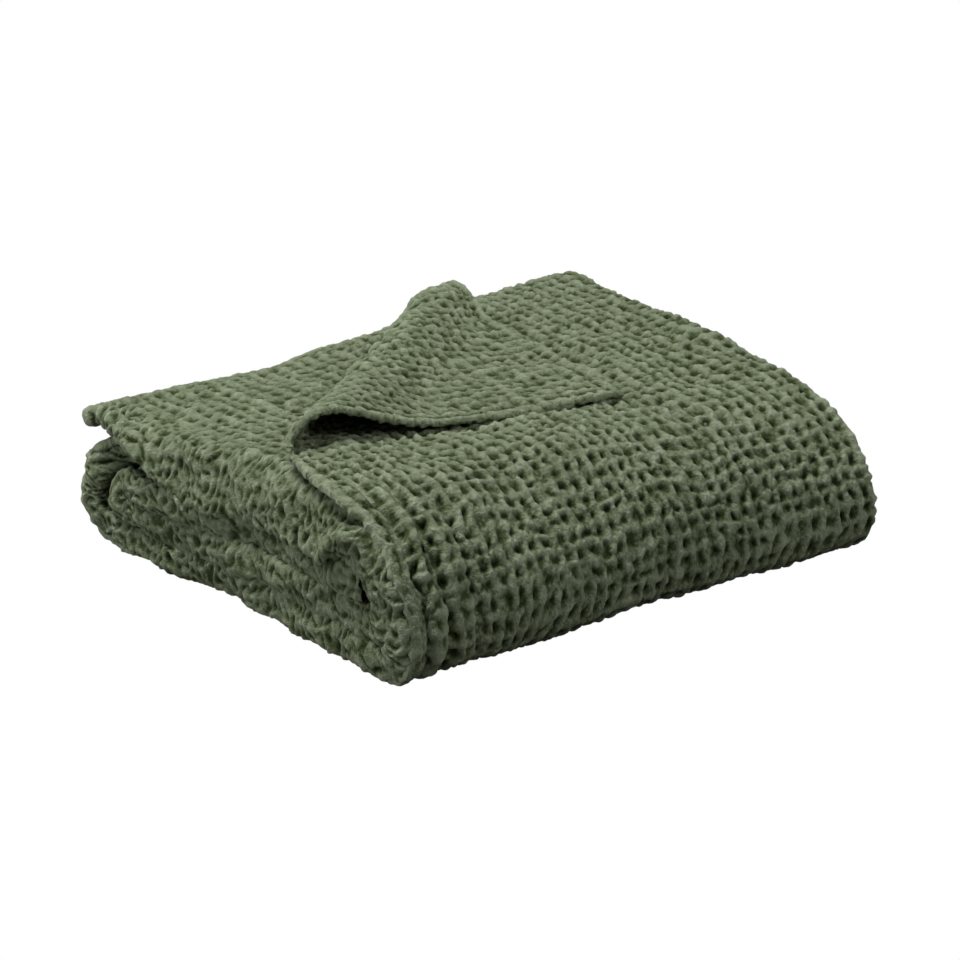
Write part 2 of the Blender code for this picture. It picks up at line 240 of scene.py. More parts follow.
# How full the folded edge at the left is, at places counted from the end of a stretch (0 is the end of the
# top): half its height, how far its middle moves out, and its length
FULLNESS = [
    dict(stretch=0, past=-0.260, half=0.0046, out=0.0000, long=0.014),
    dict(stretch=0, past=-0.010, half=0.0060, out=0.0000, long=0.014),
    dict(stretch=0, past=0.030, half=0.0090, out=-0.001, long=0.018),
    dict(stretch=1, past=-0.080, half=0.0120, out=-0.002, long=0.020),
    dict(stretch=1, past=0.000, half=0.0108, out=0.0000, long=0.020),
    dict(stretch=2, past=-0.020, half=0.0108, out=0.0000, long=0.020),
    dict(stretch=3, past=-0.060, half=0.0090, out=-0.001, long=0.016),
    dict(stretch=3, past=0.000, half=0.0060, out=0.0000, long=0.014),
    dict(stretch=4, past=-0.030, half=0.0080, out=0.0000, long=0.014),
    dict(stretch=4, past=0.020, half=0.0115, out=0.0020, long=0.018),
    dict(stretch=5, past=-0.030, half=0.0135, out=0.0060, long=0.022),
    dict(stretch=5, past=0.010, half=0.0104, out=0.0022, long=0.020),
    dict(stretch=6, past=0.000, half=0.0104, out=0.0022, long=0.020),
    dict(stretch=7, past=-0.020, half=0.0100, out=0.0030, long=0.020),
    dict(stretch=7, past=0.010, half=0.0112, out=0.0030, long=0.020),
]


def fullness(along, column):
    """One column of FULLNESS at lengths along the path."""
    starts = [along_of(FRONT_Y)] + ENDS
    places = [starts[row["stretch"]] + row["past"] for row in FULLNESS]
    return np.interp(along, places, [row[column] for row in FULLNESS])


def inner_mask(along):
    """0 on the outermost turn of the strip, 1 on the inner ones."""
    return ease(along, bend_end(3) - 0.045, bend_end(3) - 0.005)


def left_end(along):
    """X where the folded edge of the inner panels starts."""
    here = along - PATH_START
    wander = 0.0025 * np.sin(11.0 * here + 0.6) + 0.0015 * np.sin(27.0 * here)
    fuller = fullness(along, "long") - EDGE_LONG
    corner = 0.008 * ease(along, along_of(0.125), along_of(0.165))
    return LEFT + 0.0225 + wander + fuller + 0.0150 * behind_mask(along) - 0.003 * top_mask(along) - corner


def hem_end(along):
    """X of the outer panel's hem at the left."""
    here = along - PATH_START
    wander = 0.0020 * np.sin(9.0 * here + 2.0) + 0.0015 * np.sin(31.0 * here)
    under = ease(along, bend_end(1) - 0.03, bend_end(1) + 0.03) * (1.0 - ease(along, bend_end(2) - 0.05, bend_end(2)))
    return LEFT + wander * ease(along, CORNER_ALONG, CORNER_ALONG + 0.05) + 0.0220 * inner_mask(along) + 0.010 * under


def right_end(along):
    """X of the folded end at the right."""
    here = along - PATH_START
    return RIGHT - 0.004 + 0.0035 * np.sin(7.0 * here + 1.0) + 0.0020 * np.sin(19.0 * here)


def front_mask(along):
    """1 down the front, where the outer panel creases beside its hem."""
    low = bend_end(1) - 0.115
    return ease(along, along_of(-0.090), low) * (1.0 - ease(along, bend_end(1) - 0.045, bend_end(1)))


def crease(x, along):
    """Height of the upright creases beside the hem at the front."""
    total = 0.0
    for place, height, half_width in CREASES:
        total = total + height * np.exp(-(((x - place) / half_width) ** 2))
    return total * front_mask(along)


# The turned corner


def section_table():
    """The section of the roll by length: place past its line, and rise, both smoothed."""
    back, rise = np.array(ROLL_SECTION).T
    length = np.concatenate([[0.0], np.cumsum(np.hypot(np.diff(back), np.diff(rise)))])
    fine = np.linspace(0.0, length[-1], 1200)
    parts = [np.interp(fine, length, back), np.interp(fine, length, rise)]
    window = 16  # points on each side
    kernel = np.ones(2 * window + 1) / (2 * window + 1)
    for _ in range(2):
        parts = [np.convolve(np.pad(part, window, mode="edge"), kernel, mode="valid") for part in parts]
    return fine - ROLL_BEFORE, parts[0], parts[1]


SECTION = section_table()


def turned_point(across, share):
    """Plan point and rise of the outer panel on the turned corner."""
    down = share * SIDE_HEM
    past = (down * END_HEM - across * SIDE_HEM) / ROLL_LINE
    line = (down * SIDE_HEM + across * END_HEM) / ROLL_LINE
    forth_x, forth_y = math.cos(CORNER_TURN), math.sin(CORNER_TURN)
    back = np.interp(past, SECTION[0], SECTION[1])
    rise = np.interp(past, SECTION[0], SECTION[2])
    far = line / ROLL_LINE
    low = 1.0 - (1.0 - ROLL_LOW) * np.clip(far, 0.0, 1.0)
    height = np.where(rise <= LYING, rise, LYING + (rise - LYING) * low)
    # the roll is slimmer at its far end, opens a little, and the loose corner is swung towards the front
    back = np.where(back < 0.045, back * (1.0 - 0.35 * far), back - 0.0158 * far)
    back = back + (0.009 - 0.006 * far) * ease(past, 0.0, 0.035)
    x = CORNER_X + line * forth_x + back * forth_y
    y = CORNER_Y + line * forth_y - back * forth_x
    swing = (x - CORNER_X) * ease(past, 0.03, 0.14)
    return x - 0.035 * swing, y - 0.085 * swing, height


# The folded edge of the two inner panels


def hanging(distance, rise, share):
    """Out and down of a place on the folded edge, which bends over by a share of its full hang."""
    turn = DROP_ANGLE * share
    middle = -0.5 * STEP
    arc = DROP_RADIUS * turn
    here = np.minimum(distance / DROP_RADIUS, turn)
    rest = np.maximum(distance - arc, 0.0)
    radius = DROP_RADIUS + rise - middle
    out = radius * np.sin(here) + rest * np.cos(here)
    down = DROP_RADIUS - radius * np.cos(here) + rest * np.sin(here)
    return out, middle - down


def edge_length(along):
    """Length from the flat panels to the fold of the edge."""
    share = drop_share(along)
    return (1.0 - share) * fullness(along, "long") + share * (DROP_RADIUS * DROP_ANGLE + DROP_HANG)


def swelling(distance, along):
    """Half the height of the folded edge at a distance along it, and how far its middle moves out."""
    share = ease(distance / edge_length(along), 0.05, 1.0)
    return 0.5 * STEP + (fullness(along, "half") - 0.5 * STEP) * share, fullness(along, "out") * share


def fold_shape(share):
    """Out and side of a full folded edge, as shares of its radius, over its own length from 0 to 1."""
    square, deep = 0.65, 0.75  # fuller than a round, and flatter
    turn = np.linspace(0.0, math.pi, 400)
    out = deep * np.sin(turn) ** square
    side = np.sign(np.cos(turn)) * np.abs(np.cos(turn)) ** square
    length = np.concatenate([[0.0], np.cumsum(np.hypot(np.diff(out), np.diff(side)))])
    return np.interp(share, length / length[-1], out), np.interp(share, length / length[-1], side), length[-1]


def edge_point(along, distance, side, radius, moved):
    """X and rise of a place on the folded edge's outer (1) or inner (-1) panel."""
    out, rise = hanging(distance, -0.5 * STEP + moved + side * radius, drop_share(along))
    return left_end(along) - out, rise


# The weave


def smooth_noise(size, cells, seed):
    """Even noise that repeats over the tile, with features about size / cells across, from -1 to 1."""
    random = np.random.default_rng(seed)
    spectrum = np.fft.fft2(random.standard_normal((size, size)))
    turn = np.fft.fftfreq(size) * size
    distance = np.hypot(turn[:, None], turn[None, :])
    field = np.real(np.fft.ifft2(spectrum * np.exp(-((distance / cells) ** 2))))
    return field / np.abs(field).max()


# The waffle is worked out once, on a square tile of the cloth that repeats
TILE_CELLS = 48
TILE_PIXELS = 960
PER_CELL = TILE_PIXELS // TILE_CELLS


def stamp(height, row, column, shape, keep):
    """Lays a shape, a function of cells down and across, round a place on the tile."""
    offsets = np.arange(-PER_CELL, PER_CELL + 1)
    rows, columns = int(round(row * PER_CELL)) + offsets, int(round(column * PER_CELL)) + offsets
    down = (rows - row * PER_CELL)[:, None] / PER_CELL
    side = (columns - column * PER_CELL)[None, :] / PER_CELL
    area = np.ix_(rows % TILE_PIXELS, columns % TILE_PIXELS)
    height[area] = keep(height[area], shape(down, side))


def sampled(tile, down, across):
    """The tile's height between its points, which repeat past its sides."""
    i, j = np.floor(down).astype(int), np.floor(across).astype(int)
    part_down, part_across = down - i, across - j
    i0, j0, i1, j1 = i % TILE_PIXELS, j % TILE_PIXELS, (i + 1) % TILE_PIXELS, (j + 1) % TILE_PIXELS
    upper = tile[i0, j0] * (1 - part_across) + tile[i0, j1] * part_across
    lower = tile[i1, j0] * (1 - part_across) + tile[i1, j1] * part_across
    return upper * (1 - part_down) + lower * part_down


def bent(tile, reach, cells, seed):
    """The tile with its rows pushed to and fro by up to reach cells."""
    rows, columns = np.indices(tile.shape)
    down = rows + reach * PER_CELL * smooth_noise(TILE_PIXELS, cells, seed)
    across = columns + reach * PER_CELL * smooth_noise(TILE_PIXELS, cells, seed + 1)
    return sampled(tile, down, across)


# The parts of one cell of the waffle, as shares of a cell from its corner: knots, and the ridges between them
CELL_PARTS = [
    dict(down=0.0, across=0.0, long=0.49, wide=0.44, low=0.4, high=1.9),
    dict(down=0.5, across=0.0, long=0.42, wide=0.36, low=-0.3, high=1.5),
    dict(down=0.0, across=0.5, long=0.34, wide=0.42, low=-0.6, high=1.2),
]


def streaks(cells, seed):
    """Noise drawn out along one diagonal of the weave, three times as long as wide."""
    rows, columns = np.indices((TILE_PIXELS, TILE_PIXELS))
    noise = smooth_noise(TILE_PIXELS, cells, seed)
    return noise[(3 * (rows - columns)) % TILE_PIXELS, (rows + columns) % TILE_PIXELS]


def weave_tile():
    """Height of the waffle over a tile that repeats, in millimetres: puffs high, pits low, rows uneven."""
    random = np.random.default_rng(7)
    patch = smooth_noise(TILE_CELLS, 6, 40)
    ground = -1.7
    domes = np.full((TILE_PIXELS, TILE_PIXELS), ground)
    pits = np.zeros((TILE_PIXELS, TILE_PIXELS))
    for row in range(TILE_CELLS):
        for column in range(TILE_CELLS):
            long, wide = random.uniform(0.12, 0.20), random.uniform(0.10, 0.16)
            depth = random.choice([-1.0, 1.2, 2.4], p=[0.12, 0.33, 0.55]) + 0.8 * patch[row, column]

            def pit(down, side):
                return -depth * np.exp(-((down / long) ** 2 + (side / wide) ** 2))

            where = random.normal(0.5, 0.09, 2)
            stamp(pits, row + where[0], column + where[1], pit, np.add)
            for part in CELL_PARTS:
                tall = random.uniform(part["low"], part["high"])
                long_dome = part["long"] * random.uniform(0.8, 1.2)
                wide_dome = part["wide"] * random.uniform(0.8, 1.2)

                def dome(down, side):
                    inside = 1.0 - (down / long_dome) ** 2 - (side / wide_dome) ** 2
                    return ground + (tall - ground) * np.maximum(inside, 0.0) ** 0.7

                where = random.normal(0.0, 0.06, 2)
                stamp(domes, row + part["down"] + where[0], column + part["across"] + where[1], dome, np.maximum)
    height = bent(bent(domes + pits, 0.34, 44, 60), 0.6, 9, 70)
    height += 0.40 * smooth_noise(TILE_PIXELS, 26, 3) + 1.0 * streaks(34, 8)
    return height + 0.70 * smooth_noise(TILE_PIXELS, 140, 4) + 0.70 * smooth_noise(TILE_PIXELS, 280, 5)


# Where on the tile each panel starts, so that no two show the same stretch of it
OUTER_START = (0.31, 0.17)
INNER_START = (0.05, 0.43)
GATHERED_START = (0.11, 0.05)
WEAVE = weave_tile()
GATHERED = bent(bent(WEAVE, 0.7, 36, 80), 1.1, 12, 90) + 0.7 * smooth_noise(TILE_PIXELS, 110, 95) - 0.1


def weave(u, v, strength, tile=WEAVE):
    """Height of the waffle at a place on the cloth, in metres; strength is how open its pits are."""
    scale = TILE_PIXELS / (TILE_CELLS * CELL)
    value = sampled(tile, np.asarray(v) * scale, np.asarray(u) * scale)
    return 0.001 * np.where(value < 0, value * strength, value * (0.5 + 0.5 * strength))


def lumps(points):
    """Soft unevenness of the whole bundle, in metres along the face."""
    # radians a metre along X, Y and Z, start and size
    waves = [
        ((38.0, 12.0, 20.0), 0.4, 0.0008),
        ((-22.0, 47.0, 31.0), 1.9, 0.0007),
        ((71.0, -33.0, -44.0), 4.1, 0.0005),
        ((-95.0, -61.0, 52.0), 2.6, 0.0004),
        ((64.0, 103.0, -77.0), 5.5, 0.0004),
    ]
    total = np.zeros(points.shape[:-1])
    for turn, start, size in waves:
        total += size * np.sin(points @ np.array(turn) + start)
    return total


# From a grid of the cloth's middle to its face


def settled(points):
    """The bundle as it lies: higher at the front left, lower at the back and the right, its sides drawn in."""
    x, y, z = points[..., 0], points[..., 1], points[..., 2]
    rows = [np.interp(y, HEIGHTS_Y, row) for row in HEIGHTS]
    place = np.clip((x - HEIGHTS_X[0]) / (HEIGHTS_X[1] - HEIGHTS_X[0]), 0.0, len(rows) - 1.0)
    low = np.minimum(place.astype(int), len(rows) - 2)
    share = np.choose(low, rows[:-1]) * (1.0 - (place - low)) + np.choose(low, rows[1:]) * (place - low)
    share = share + 0.012 * np.sin(31.0 * x + 9.0 * y) * np.cos(23.0 * y + 1.0)
    result = points.copy()
    uneven = 0.0024 * np.sin(61.0 * y + 40.0 * z) * np.cos(85.0 * z - 23.0 * y + 1.2)
    uneven = uneven + 0.0014 * np.sin(140.0 * y - 90.0 * z)
    result[..., 0] = x - 0.015 * ease(y, -0.04, 0.13) * ease(-x, 0.0, 0.21) + uneven * ease(-x, 0.15, 0.19)
    result[..., 1] = y - 0.009 * ease(x, 0.0, 0.20) * ease(-y, 0.0, 0.17)
    result[..., 2] = FLOOR_MIDDLE + (z - FLOOR_MIDDLE) * share
    return result


def normals(grid):
    """Unit normals of a grid of points."""
    across, along = np.gradient(grid, axis=1), np.gradient(grid, axis=0)
    normal = np.cross(along, across)
    return normal / np.maximum(np.linalg.norm(normal, axis=2), 1e-12)[:, :, None]


def wrap(signed):
    """Round a hem: distance in the plane of the cloth, below 0 on its under side, and offset as a share of HALF."""
    turn = np.clip(signed / (HALF * math.pi / 2), -1.0, 1.0) * math.pi / 2
    flat = np.maximum(np.abs(signed) - HALF * math.pi / 2, 0.0)
    return np.sign(signed) * (HALF * (1.0 - np.cos(turn)) + flat), np.sin(turn)


PUCKER_REACH = 0.006  # how far from the hem its wandering is felt


def pucker(place):
    """How far a hem's edge wanders in the plane of the cloth, in step with the waffle."""
    turn = 2.0 * math.pi * place / CELL
    return 0.0006 * np.sin(turn) + 0.0005 * np.sin(0.43 * turn + 1.0) + 0.0004 * np.sin(1.7 * turn + 2.0)


def resting(points):
    """Nothing reaches below the floor: what would is pressed flat on it."""
    soft = 0.0015  # below this height the cloth is pressed closer and closer to the floor
    result = points.copy()
    z = points[..., 2]
    result[..., 2] = np.where(z > soft, z, soft * np.exp(np.minimum(z - soft, 0.0) / soft))
    return result


def face(middle, past_hem, side, share, height, ghosts):
    """The points, normals and kept rows of one face: past_hem is the middle run on past its hems, side is +1
    or -1, share how far out the face lies, height the relief, ghosts the rows to drop at the start and end."""
    grid = settled(middle)
    normal = normals(settled(past_hem))
    out = (HALF * share + height * np.sign(share) + lumps(grid) * side)[:, :, None]
    points = resting(grid + normal * side * out)
    shade = normals(points) * side
    kept = slice(ghosts[0], len(points) - ghosts[1])
    return points[kept], shade[kept], kept


def add_piece(name, layers, masks=None):
    """An object from several grids: each is (points, normals, flip, uv, relief), and may have a mask of cells."""
    values, faces, start = [], [], 0
    for number, (points, shade, flip, uv, relief) in enumerate(layers):
        index = start + np.arange(relief.size).reshape(relief.shape)
        quads = np.stack([index[:-1, :-1], index[:-1, 1:], index[1:, 1:], index[1:, :-1]], axis=2)
        if flip:
            quads = quads[:, :, ::-1]
        if masks is not None:
            quads = quads[masks[number]]
        faces.append(quads.reshape(-1, 4))
        values.append((points.reshape(-1, 3), shade.reshape(-1, 3), uv.reshape(-1, 2), relief.reshape(-1)))
        start += relief.size
    faces = np.concatenate(faces)
    used = np.zeros(start, bool)
    used[faces.ravel()] = True
    verts, shades, uvs, reliefs = (np.concatenate(parts)[used] for parts in zip(*values))
    faces = (np.cumsum(used) - 1)[faces]
    data = bpy.data.meshes.new(name)
    data.vertices.add(len(verts))
    data.vertices.foreach_set("co", (verts - CENTRE).astype(np.float32).ravel())
    data.loops.add(faces.size)
    data.loops.foreach_set("vertex_index", faces.astype(np.int32).ravel())
    data.polygons.add(len(faces))
    data.polygons.foreach_set("loop_start", np.arange(0, faces.size, 4, dtype=np.int32))
    data.update(calc_edges=True)
    layer = data.uv_layers.new(name="cloth")
    layer.data.foreach_set("uv", uvs[faces.ravel()].astype(np.float32).ravel())
    attribute = data.attributes.new("relief", "FLOAT", "POINT")
    attribute.data.foreach_set("value", reliefs.astype(np.float32))
    data.polygons.foreach_set("use_smooth", np.ones(len(faces), bool))
    data.validate()
    data.normals_split_custom_set_from_vertices(shades.tolist())
    item = bpy.data.objects.new(name, data)
    bpy.context.scene.collection.objects.link(item)
    return item


def hem_relief(height, edge, calm=0.45, proud=0.0010):
    """Relief beside a hem, which stands proud and is calmer, with a groove where it is stitched; edge is the
    distance from it."""
    groove_deep, groove_wide = 0.0014, 0.0013
    flat = ease(edge, 0.35 * HEM_WIDTH, 1.05 * HEM_WIDTH)
    groove = np.exp(-(((edge - HEM_WIDTH) / groove_wide) ** 2))
    return height * (calm + (1.0 - calm) * flat) + proud * (1.0 - flat) - groove_deep * groove


# The outer panel where it lies flat, the fold at the right end, and the start of the middle panel


def outer_rows(lengths):
    """From lengths along the outer panel: share of the turned corner, and lengths of the panels under it."""
    share = np.clip((CORNER_ALONG - lengths) / BACK_REACH, 0.0, 1.0)
    under_start = BACK_Y + UNDER_REACH - CORNER_Y
    under = np.where(share > 0, along_of(CORNER_Y + under_start * share), lengths)
    return share, under


def under_along(under, outer, x):
    """Length of a place on the middle panel, which joins the outer panel at the right and lags it at the left."""
    return under + (outer - under) * ease(x, -0.02, right_end(outer) - 0.01)


def outer_grid(lengths, hem, columns, folded=True):
    """Middle points, side offset and cloth place of the outer panel's face and its fold at the right."""
    share, under = (values[:, None] for values in outer_rows(lengths))
    along = lengths[:, None]
    start = hem_end(along) + share * (ROLL_LINE * math.cos(CORNER_TURN))
    end = right_end(along) - 0.5 * STEP
    parts = []
    if hem is not None:
        signed, lift = wrap(hem[None, :])
        edge = np.abs(signed)
        x = start + (edge if folded else signed) + pucker(along) * np.exp(-edge / PUCKER_REACH)
        parts.append((x, along + 0 * x, STEP + crease(x, along), lift + 0 * x, edge + 0 * x))
    fresh = columns["base"][None, :]
    first = wrap(hem[-1:])[0][0] if hem is not None else 0.0
    x = start + first + (end - start - first) * fresh
    loose = pucker(along) * np.exp(-(x - start) / PUCKER_REACH) if hem is not None else 0.0
    parts.append((x + loose, along + 0 * x, STEP + crease(x, along), 1.0 + 0 * x, x - start))
    turn = columns["fold"][None, :] * math.pi
    x = end + 0.5 * STEP * np.sin(turn)
    rise = 0.5 * STEP * (1.0 + np.cos(turn)) + 0 * x
    parts.append((x, along + 0 * x, rise, 1.0 + 0 * x, end - start + 0.5 * STEP * turn))
    gone = columns["under"][None, :]
    x = end - gone + 0 * along
    parts.append((x, under_along(under, along, x), 0 * x, 1.0 + 0 * x, end - start + 0.5 * STEP * math.pi + gone))
    x, here, rise, lift, edge = (np.concatenate([part[k] for part in parts], axis=1) for k in range(5))
    y, z = on_strip(here, rise)
    return np.stack([x, y, z], axis=2), lift, edge, end + 0.5 * STEP * math.pi - start - edge


def outer_piece(name, lengths, hem, columns, ghosts, back_hem=None):
    """A stretch of the outer panel; hem is the signed distances across its left hem, and back_hem is each
    row's signed distance from the back hem and its lift."""
    straight_on = lengths if back_hem is None else lengths - np.abs(back_hem[0]) + back_hem[0]
    past_hem = outer_grid(straight_on, hem, columns, False)[0]
    middle, lift, edge, u = outer_grid(lengths, hem, columns)
    v = np.broadcast_to(lengths[:, None], u.shape)
    height = weave(u + OUTER_START[0], v + OUTER_START[1], 1.0)
    if hem is not None:
        height = hem_relief(height, edge)
    if back_hem is not None:
        height = hem_relief(height, np.broadcast_to(np.abs(back_hem[0])[:, None], u.shape))
        lift = lift * back_hem[1][:, None]
    points, shade, kept = face(middle, past_hem, 1.0, lift, height, ghosts)
    if hem is not None:
        keep_seam(points[:, len(hem) + 1])
    uv = np.stack([u, v], axis=2)[kept]
    return add_piece(name, [(points, shade, True, uv, height[kept])])


def steps(start, end, size):
    """Even places about size apart, with both ends."""
    count = max(int(round(abs(end - start) / size)), 1)
    return np.linspace(start, end, count + 1)


def chain(*parts):
    """Several stretches of places after one another, without the doubled ends."""
    return np.concatenate([parts[0]] + [part[1:] for part in parts[1:]])


def ghost(values, before, after):
    """Two more places past an end, so that shading runs on across a join."""
    head = values[0] - (values[1] - values[0]) * np.array([2, 1]) if before else []
    tail = values[-1] + (values[-1] - values[-2]) * np.array([1, 2]) if after else []
    return np.concatenate([head, values, tail])


def outer_columns(size):
    """Places along the outer panel, its fold at the right, and the start of the middle panel."""
    base = int(round((RIGHT - LEFT) / size))
    return dict(
        base=np.arange(1, base + 1) / base,
        fold=np.arange(1, 11) / 10,
        under=np.array([0.002, 0.005, 0.010, 0.018, 0.030, 0.045, RIGHT - SPLIT_X]),
    )


# Signed distances across a hem: below 0 on the turned under side, close together round the edge
HEM_PLACES = chain(steps(-0.022, -0.008, 0.0035), steps(-0.008, 0.0090, 0.0011))

# The middle panel, its folded edge at the left, and the inner panel


def inner_rows(along):
    """Length of the outer panel over each length of the two inner ones."""
    top = along_of(BACK_Y + UNDER_REACH)
    share = (CORNER_ALONG - along) / (CORNER_ALONG - top)
    return np.where(share > 0, CORNER_ALONG - BACK_REACH * np.minimum(share, 1.0), along)


def inner_grid(along, columns):
    """Middle points of the two inner panels and of the folded edge between them."""
    outer = inner_rows(along)[:, None]
    along = along[:, None]
    length = edge_length(along)
    finish = left_end(along)
    parts = []
    x = SPLIT_X + (finish - SPLIT_X) * columns["middle"][None, :]
    parts.append((x, under_along(along, outer, x), 0 * x, SPLIT_X - x))
    distance = length * columns["edge"][None, :]
    x, rise = edge_point(along, distance, 1.0, *swelling(distance, along))
    parts.append((x, along + 0 * x, rise, SPLIT_X - finish + distance))
    out, side, whole = fold_shape(columns["fold"][None, :])
    radius, moved = swelling(length, along)
    x, rise = edge_point(along, length + radius * out, side, radius, moved)
    parts.append((x, along + 0 * x, rise, SPLIT_X - finish + length + radius * whole * columns["fold"][None, :]))
    so_far = SPLIT_X - finish + length + radius * whole
    distance = length * (1.0 - columns["back"][None, :])
    x, rise = edge_point(along, distance, -1.0, *swelling(distance, along))
    parts.append((x, along + 0 * x, rise, so_far + length - distance))
    start = right_end(outer) - 0.5 * STEP - INNER_SHORT
    x = finish + (start - finish) * columns["inner"][None, :]
    parts.append((x, along + 0 * x, -STEP + 0 * x, so_far + length + x - finish))
    x, here, rise, u = (np.concatenate([part[k] for part in parts], axis=1) for k in range(4))
    y, z = on_strip(here, rise)
    return np.stack([x, y, z], axis=2), u


def inner_columns(size, dense_from):
    """Places along the two inner panels: dense from a share of the middle panel to its edge."""
    middle = int(round((SPLIT_X - LEFT) * (1.0 - dense_from) / size))
    coarse = np.linspace(0.0, dense_from, 7)[:-1]
    edge, fold, back = (int(round(length / size)) for length in (0.022, 0.031, 0.018))
    return dict(
        middle=np.concatenate([coarse, dense_from + (1.0 - dense_from) * np.arange(middle + 1) / middle]),
        edge=np.arange(1, edge + 1) / edge,
        fold=np.arange(1, fold + 1) / fold,
        back=np.arange(1, back + 1) / back,
        inner=np.array([0.008, 0.020, 0.05, 0.12, 0.3, 1.0]),
    )


def inner_piece(name, along, columns, ghosts, hem=None):
    """A stretch of the two inner panels; hem is each row's signed distance from the back hem and its lift."""
    middle, u = inner_grid(along, columns)
    past_hem = middle if hem is None else inner_grid(along - np.abs(hem[0]) + hem[0], columns)[0]
    v = np.broadcast_to(along[:, None], u.shape)
    tight_u, tight_v = 1.25, 1.45  # the folded edge gathers the cloth
    gathered = weave(tight_u * u + GATHERED_START[0], tight_v * v + GATHERED_START[1], 0.85, GATHERED)
    laid = weave(u + INNER_START[0], v + INNER_START[1], 0.75)
    share = ease(u, SPLIT_X - LEFT - 0.036, SPLIT_X - LEFT - 0.014)
    height = laid + (gathered - laid) * share
    lift = np.ones_like(u)
    if hem is not None:
        height = hem_relief(height, np.broadcast_to(np.abs(hem[0])[:, None], u.shape))
        lift = lift * hem[1][:, None]
    points, shade, kept = face(middle, past_hem, -1.0, lift, height, ghosts)
    uv = np.stack([u, v], axis=2)[kept]
    return add_piece(name, [(points, shade, False, uv, height[kept])])


# The rows of stitches that hold the hems

STITCH_PITCH = 0.0034
STITCH_LENGTH = 0.0026
THREAD_RADIUS = 0.00045
STITCH_SEED = 3
SEAMS = []  # paths along the cloth's face, one for each row of stitches


def keep_seam(path):
    """Keeps the stretches of a path that are clear of the surface the bundle rests on."""
    clear_by = 0.004
    clear = np.flatnonzero(path[:, 2] > clear_by)
    for run in np.split(clear, np.flatnonzero(np.diff(clear) > 1) + 1):
        if len(run) > 3:
            SEAMS.append(path[run] - CENTRE)


def stand_for_throw(item):
    """What the frame is told of every piece."""
    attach(item, "root")
    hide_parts("throw")


def sewing_tree(thread):
    """Geometry nodes that lay stitches end to end along a path."""
    tree = bpy.data.node_groups.new("sewn_row", "GeometryNodeTree")
    sizes = {"Pitch": STITCH_PITCH, "Length": STITCH_LENGTH, "Radius": THREAD_RADIUS}
    tree.interface.new_socket(name="Path", in_out="INPUT", socket_type="NodeSocketGeometry")
    for name, size in sizes.items():
        tree.interface.new_socket(name=name, in_out="INPUT", socket_type="NodeSocketFloat").default_value = size
    seed = tree.interface.new_socket(name="Seed", in_out="INPUT", socket_type="NodeSocketInt")
    seed.default_value = STITCH_SEED
    tree.interface.new_socket(name="Stitches", in_out="OUTPUT", socket_type="NodeSocketGeometry")
    given = node(tree, "NodeGroupInput").outputs
    curve = node(tree, "GeometryNodeMeshToCurve", None, Mesh=given["Path"]).outputs["Curve"]
    row = node(tree, "GeometryNodeResampleCurve", dict(mode="LENGTH"), Curve=curve, Length=given["Pitch"])
    tangent = node(tree, "GeometryNodeInputTangent").outputs["Tangent"]
    turn = node(tree, "FunctionNodeAlignRotationToVector", dict(axis="X"), Vector=tangent).outputs["Rotation"]
    stitch = node(tree, "GeometryNodeMeshUVSphere", None, Segments=6, Rings=5, Radius=1.0).outputs["Mesh"]
    # inputs 2 and 3 are the least and the most: half a stitch, a little uneven
    random = node(tree, "FunctionNodeRandomValue", dict(data_type="FLOAT"), i2=0.42, i3=0.56, Seed=given["Seed"])
    uneven = random.outputs[1]
    half = node(tree, "ShaderNodeMath", dict(operation="MULTIPLY"), i0=given["Length"], i1=uneven).outputs[0]
    size = node(tree, "ShaderNodeCombineXYZ", None, X=half, Y=given["Radius"], Z=given["Radius"]).outputs["Vector"]
    laid = node(
        tree,
        "GeometryNodeInstanceOnPoints",
        None,
        Points=row.outputs["Curve"],
        Instance=stitch,
        Rotation=turn,
        Scale=size,
    )
    real = node(tree, "GeometryNodeRealizeInstances", None, Geometry=laid.outputs["Instances"]).outputs["Geometry"]
    done = node(tree, "GeometryNodeSetMaterial", None, Geometry=real, Material=thread).outputs["Geometry"]
    node(tree, "NodeGroupOutput", None, Stitches=done)
    return tree, sizes


def sew(thread):
    """One mesh of all the stitches, from the seams kept so far."""
    data = bpy.data.meshes.new("throw_stitches")
    starts = np.cumsum([0] + [len(path) for path in SEAMS])
    edges = [(int(k), int(k) + 1) for start, path in zip(starts, SEAMS) for k in range(start, start + len(path) - 1)]
    data.from_pydata(np.concatenate(SEAMS).tolist(), edges, [])
    item = bpy.data.objects.new("throw_stitches", data)
    bpy.context.scene.collection.objects.link(item)
    tree, sizes = sewing_tree(thread)
    sewing = item.modifiers.new("sewing", "NODES")
    sewing.node_group = tree
    for socket in tree.interface.items_tree:
        if socket.in_out == "INPUT" and socket.name in sizes:
            sewing[socket.identifier] = sizes[socket.name]
    graph = bpy.context.evaluated_depsgraph_get()
    sewn = bpy.data.meshes.new_from_object(item.evaluated_get(graph), depsgraph=graph)
    item.modifiers.clear()
    item.data = sewn
    sewn.shade_smooth()
    stand_for_throw(item)


# The turned corner, both faces


def corner_places(size):
    """Places along a turned hem as shares of its length, close together in the hem's own edge."""
    near = np.array([0.0, 0.0004, 0.0010, 0.0018, 0.0030]) / END_HEM  # round the hem's edge
    count = int(round(END_HEM / size))
    middle = np.linspace(near[-1], 1.0 - near[-1], count)
    return np.concatenate([near[:-1], middle, 1.0 - near[-2::-1]])


